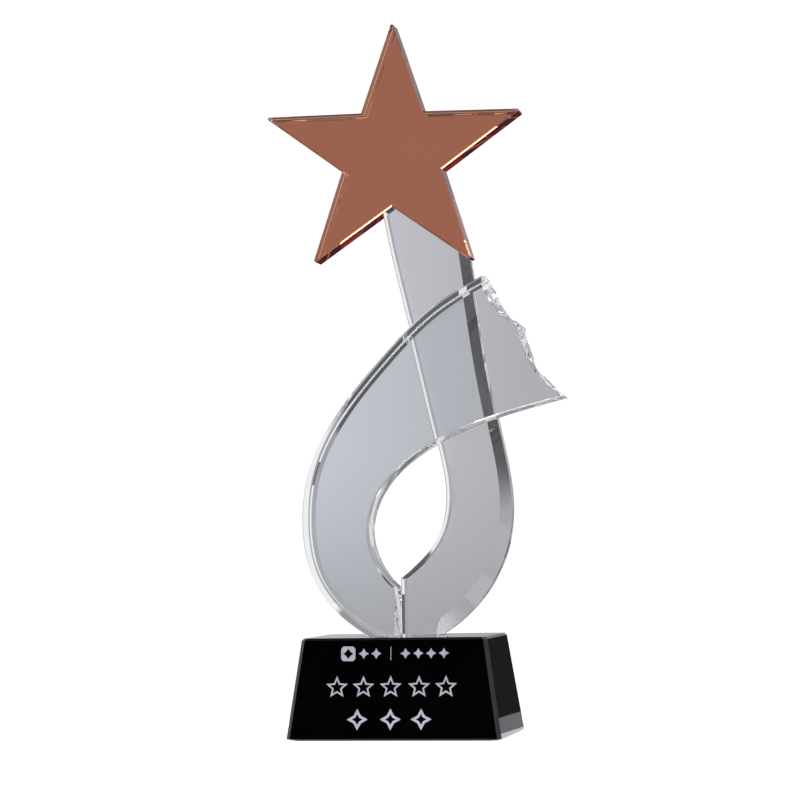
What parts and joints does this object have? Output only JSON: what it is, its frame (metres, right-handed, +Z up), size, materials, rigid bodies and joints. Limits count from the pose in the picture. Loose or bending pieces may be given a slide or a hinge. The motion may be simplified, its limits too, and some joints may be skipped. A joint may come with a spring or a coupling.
{
  "type": "star trophy",
  "caption": "Crystal award: a copper-backed star on two crossing clear ribbons that form a teardrop loop above a tapered black base.",
  "frame": {"origin": "centre of the flat underside of the felt pad, where the trophy rests", "axes": "+Z up from the resting face to the star, -Y towards the engraved front, +X to the side the swallowtail points to"},
  "size_m": [0.1274, 0.0598, 0.2992],
  "materials": {
    "black_crystal": "polished black crystal",
    "black_felt": "short black felt",
    "ribbon_crystal": "polished clear crystal",
    "stem_crystal": "polished clear crystal",
    "star_crystal": "polished clear crystal",
    "copper_mirror": "rose copper mirror coating",
    "clear_adhesive": "clear cured adhesive",
    "silver_infill": "satin silver paint"
  },
  "bodies": {
    "root": {"base_block": "black_crystal", "base_felt_pad": "black_felt", "front_ribbon": "ribbon_crystal", "rear_stem": "stem_crystal", "star_crystal": "star_crystal", "star_copper_coating": "copper_mirror", "bond_star_to_stem": "clear_adhesive", "bond_ribbon_crossing": "clear_adhesive", "bond_front_ribbon_foot": "clear_adhesive", "bond_rear_stem_foot": "clear_adhesive", "emblem_infill": "silver_infill", "header_marks_infill": "silver_infill", "divider_infill": "silver_infill", "title_row_infill": "silver_infill", "name_row_infill": "silver_infill"}
  },
  "joints": []
}
